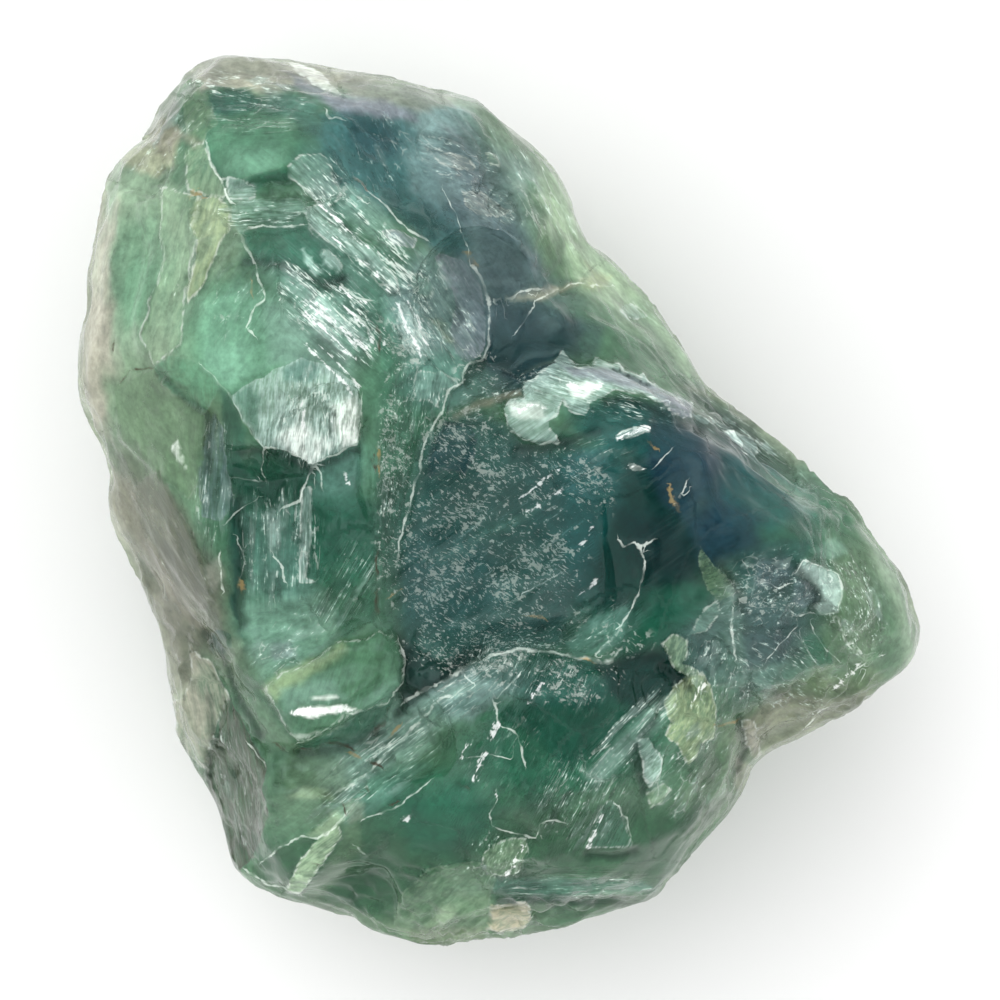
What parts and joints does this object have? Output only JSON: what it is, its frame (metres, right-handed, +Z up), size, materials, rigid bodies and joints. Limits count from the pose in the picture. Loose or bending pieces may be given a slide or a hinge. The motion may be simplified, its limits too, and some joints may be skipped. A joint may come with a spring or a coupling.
{
  "type": "fluorite specimen",
  "caption": "Rough lump of green and blue fluorite with a worn margin, a broken upper face of domes, ledges and hollows, and a flat place to rest on.",
  "frame": {"origin": "on the ground under the middle of the stone's box", "axes": "+Z up out of the broken face, +Y along the stone towards its crown, +X towards its right-hand point"},
  "size_m": [0.11, 0.1162, 0.0593],
  "materials": {
    "fluorite": "translucent green and blue fluorite, glossy on cleavage faces and frosted on worn ones"
  },
  "bodies": {
    "root": {"fluorite": "fluorite"}
  },
  "joints": []
}
